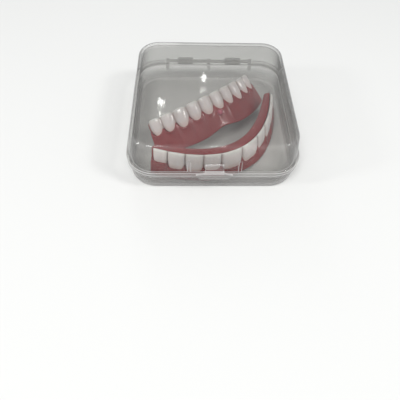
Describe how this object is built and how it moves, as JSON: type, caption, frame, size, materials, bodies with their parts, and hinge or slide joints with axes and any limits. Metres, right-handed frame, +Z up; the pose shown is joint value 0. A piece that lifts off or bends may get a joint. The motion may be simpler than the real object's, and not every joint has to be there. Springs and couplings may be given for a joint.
{
  "type": "costume teeth veneers in a hinged clear box",
  "caption": "Upper and lower costume teeth veneers, white crowns on red gum mouldings, lying in a shallow clear plastic box with a hinged, latched lid.",
  "frame": {"origin": "centre of the box's flat underside, on the surface it stands on", "axes": "+Z up, the latch faces -Y, the hinge is at +Y"},
  "size_m": [0.075, 0.079, 0.024],
  "materials": {
    "clear_plastic": "clear moulded polystyrene, glossy",
    "gum_plastic": "red gum-coloured moulded plastic, semi-gloss",
    "tooth_plastic": "off-white tooth-coloured moulded plastic, semi-gloss"
  },
  "bodies": {
    "box_tray": {"tray": "clear_plastic", "upper_gum": "gum_plastic", "upper_teeth": "tooth_plastic", "lower_gum": "gum_plastic", "lower_teeth": "tooth_plastic"},
    "box_lid": {"lid": "clear_plastic"}
  },
  "joints": [
    {"name": "lid_hinge", "type": "hinge", "parent": "box_tray", "child": "box_lid", "pos_m": [0, 0.0387, 0.0095], "axis": [-1, 0, 0], "range_deg": [0, 130]}
  ]
}
